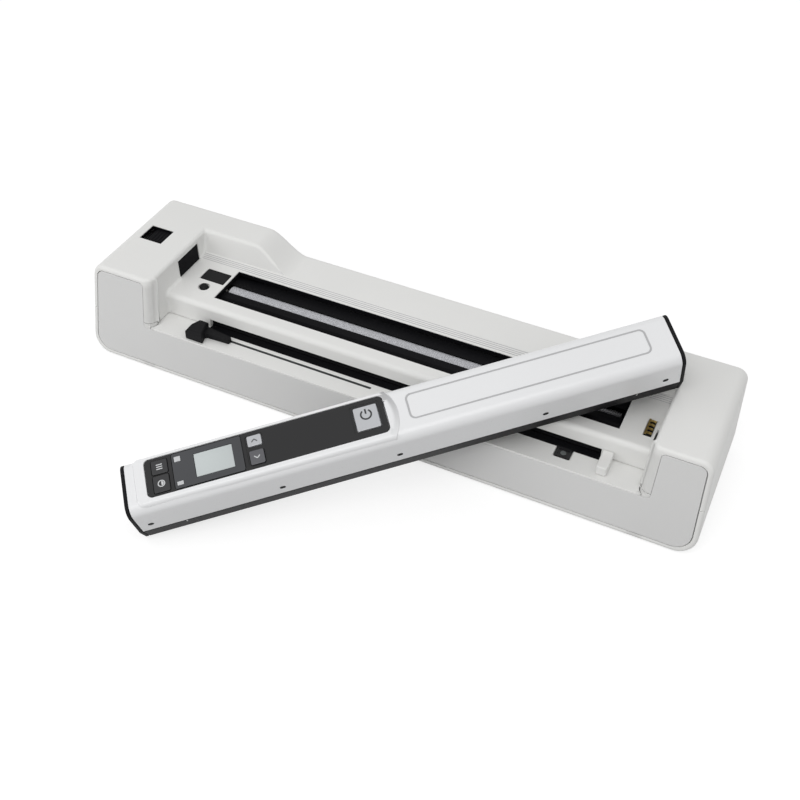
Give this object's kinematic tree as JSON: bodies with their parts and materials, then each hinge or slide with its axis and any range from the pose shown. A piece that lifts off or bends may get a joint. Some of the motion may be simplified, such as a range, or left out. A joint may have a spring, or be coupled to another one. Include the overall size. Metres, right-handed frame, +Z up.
{
  "type": "portable document scanner",
  "caption": "Wand document scanner lying across its sheet-feeding dock, with a driven feed roller, sliding paper guide, latch release, display and push keys.",
  "frame": {"origin": "on the table, under the middle of the whole object's box", "axes": "+X along the dock to its right end, +Y from the paper slot in front to the paper exit at the back, +Z up"},
  "size_m": [0.333, 0.1874, 0.0848],
  "materials": {
    "white_plastic": "fine satin texture",
    "grey_plastic": "satin",
    "black_plastic": "satin",
    "gloss_black": "glossy",
    "grey_rubber": "matt",
    "black_rubber": "matt",
    "steel": "satin",
    "gold": "polished",
    "silver_key": "satin metallic paint",
    "dark_key": "satin",
    "display_grey": "glossy",
    "lens_grey": "glossy",
    "board_green": "solder mask",
    "battery_sleeve": "printed sleeve, plain",
    "sensor_glass": "clear",
    "nylon": "natural nylon"
  },
  "bodies": {
    "dock": {"lower_housing": "white_plastic", "upper_housing": "white_plastic", "front_panel": "grey_plastic", "paper_ledge": "white_plastic", "sensor_window": "gloss_black", "right_guide": "white_plastic", "paper_chute": "black_plastic", "roller_bracket": "black_plastic", "drive_plate": "steel", "roller_bush_left": "nylon", "roller_bush_right": "nylon", "idler_pin": "steel", "motor": "steel", "main_board": "board_green", "usb_socket": "steel", "contact_block": "black_plastic", "contact_springs": "gold", "cradle_pad": "gloss_black", "locating_peg": "black_plastic", "rubber_foot_1": "black_rubber", "rubber_foot_2": "black_rubber", "rubber_foot_3": "black_rubber", "rubber_foot_4": "black_rubber", "base_screw_1": "steel", "base_screw_2": "steel", "base_screw_3": "steel", "base_screw_4": "steel"},
    "feed_roller": {"feed_roller": "grey_rubber", "roller_shaft": "steel", "roller_gear": "nylon"},
    "idler": {"idler_gear": "nylon"},
    "pinion": {"motor_pinion": "steel"},
    "paper_guide": {"left_guide": "black_plastic"},
    "release": {"release_slider": "black_plastic"},
    "wand": {"wand_shell": "white_plastic", "wand_base": "black_plastic", "end_cap_left": "black_plastic", "end_cap_right": "black_plastic", "control_panel": "gloss_black", "display_bezel": "black_plastic", "display_glass": "display_grey", "indicator_lens_upper": "lens_grey", "indicator_lens_lower": "lens_grey", "wand_board": "board_green", "image_sensor": "black_plastic", "sensor_glass": "sensor_glass", "battery_1": "battery_sleeve", "battery_2": "battery_sleeve", "wand_usb_socket": "steel"},
    "menu_key": {"menu_key": "dark_key"},
    "color_key": {"color_key": "dark_key"},
    "up_key": {"up_key": "silver_key"},
    "down_key": {"down_key": "silver_key"},
    "scan_key": {"scan_key": "silver_key"},
    "battery_cover": {"battery_cover": "white_plastic"},
    "guide_roller_left": {"guide_roller_left": "black_rubber"},
    "guide_roller_right": {"guide_roller_right": "black_rubber"}
  },
  "joints": [
    {"name": "feed_roller_spin", "type": "hinge", "parent": "dock", "child": "feed_roller", "pos_m": [0.00025, 0.0557, 0.0294], "axis": [1, 0, 0], "continuous": true},
    {"name": "idler_spin", "type": "hinge", "parent": "dock", "child": "idler", "pos_m": [0.12445, 0.06721, 0.02025], "axis": [1, 0, 0], "continuous": true},
    {"name": "pinion_spin", "type": "hinge", "parent": "dock", "child": "pinion", "pos_m": [0.12445, 0.07684, 0.0126], "axis": [1, 0, 0], "continuous": true},
    {"name": "left_guide_slide", "type": "slide", "parent": "dock", "child": "paper_guide", "axis": [1, 0, 0], "range_m": [0, 0.096]},
    {"name": "release_slide", "type": "slide", "parent": "dock", "child": "release", "axis": [1, 0, 0], "range_m": [-0.003, 0], "stiffness_N_per_m": 300, "springref_m": 0.002},
    {"name": "wand_lift", "type": "slide", "parent": "dock", "child": "wand", "axis": [0, 0, 1], "range_m": [0, 0.08]},
    {"name": "menu_key_press", "type": "slide", "parent": "wand", "child": "menu_key", "axis": [0.0169, 0.3086, -0.9511], "range_m": [0, 0.0006], "stiffness_N_per_m": 400, "springref_m": -0.001},
    {"name": "color_key_press", "type": "slide", "parent": "wand", "child": "color_key", "axis": [0.0169, 0.3086, -0.9511], "range_m": [0, 0.0006], "stiffness_N_per_m": 400, "springref_m": -0.001},
    {"name": "up_key_press", "type": "slide", "parent": "wand", "child": "up_key", "axis": [0.0169, 0.3086, -0.9511], "range_m": [0, 0.0006], "stiffness_N_per_m": 400, "springref_m": -0.001},
    {"name": "down_key_press", "type": "slide", "parent": "wand", "child": "down_key", "axis": [0.0169, 0.3086, -0.9511], "range_m": [0, 0.0006], "stiffness_N_per_m": 400, "springref_m": -0.001},
    {"name": "scan_key_press", "type": "slide", "parent": "wand", "child": "scan_key", "axis": [0.0169, 0.3086, -0.9511], "range_m": [0, 0.0006], "stiffness_N_per_m": 400, "springref_m": -0.001},
    {"name": "battery_cover_lift", "type": "slide", "parent": "wand", "child": "battery_cover", "axis": [-0.6171, 0.7516, 0.2329], "range_m": [0, 0.03]},
    {"name": "guide_roller_left_spin", "type": "hinge", "parent": "wand", "child": "guide_roller_left", "pos_m": [-0.06628, -0.06614, 0.00894], "axis": [0.7867, 0.583, 0.2031], "continuous": true},
    {"name": "guide_roller_right_spin", "type": "hinge", "parent": "wand", "child": "guide_roller_right", "pos_m": [0.1178, 0.07027, 0.05647], "axis": [0.7867, 0.583, 0.2031], "continuous": true}
  ],
  "couplings": [
    {"joint": "idler_spin", "follows": "feed_roller_spin", "ratio": -0.58065},
    {"joint": "pinion_spin", "follows": "feed_roller_spin", "ratio": 1.8}
  ]
}
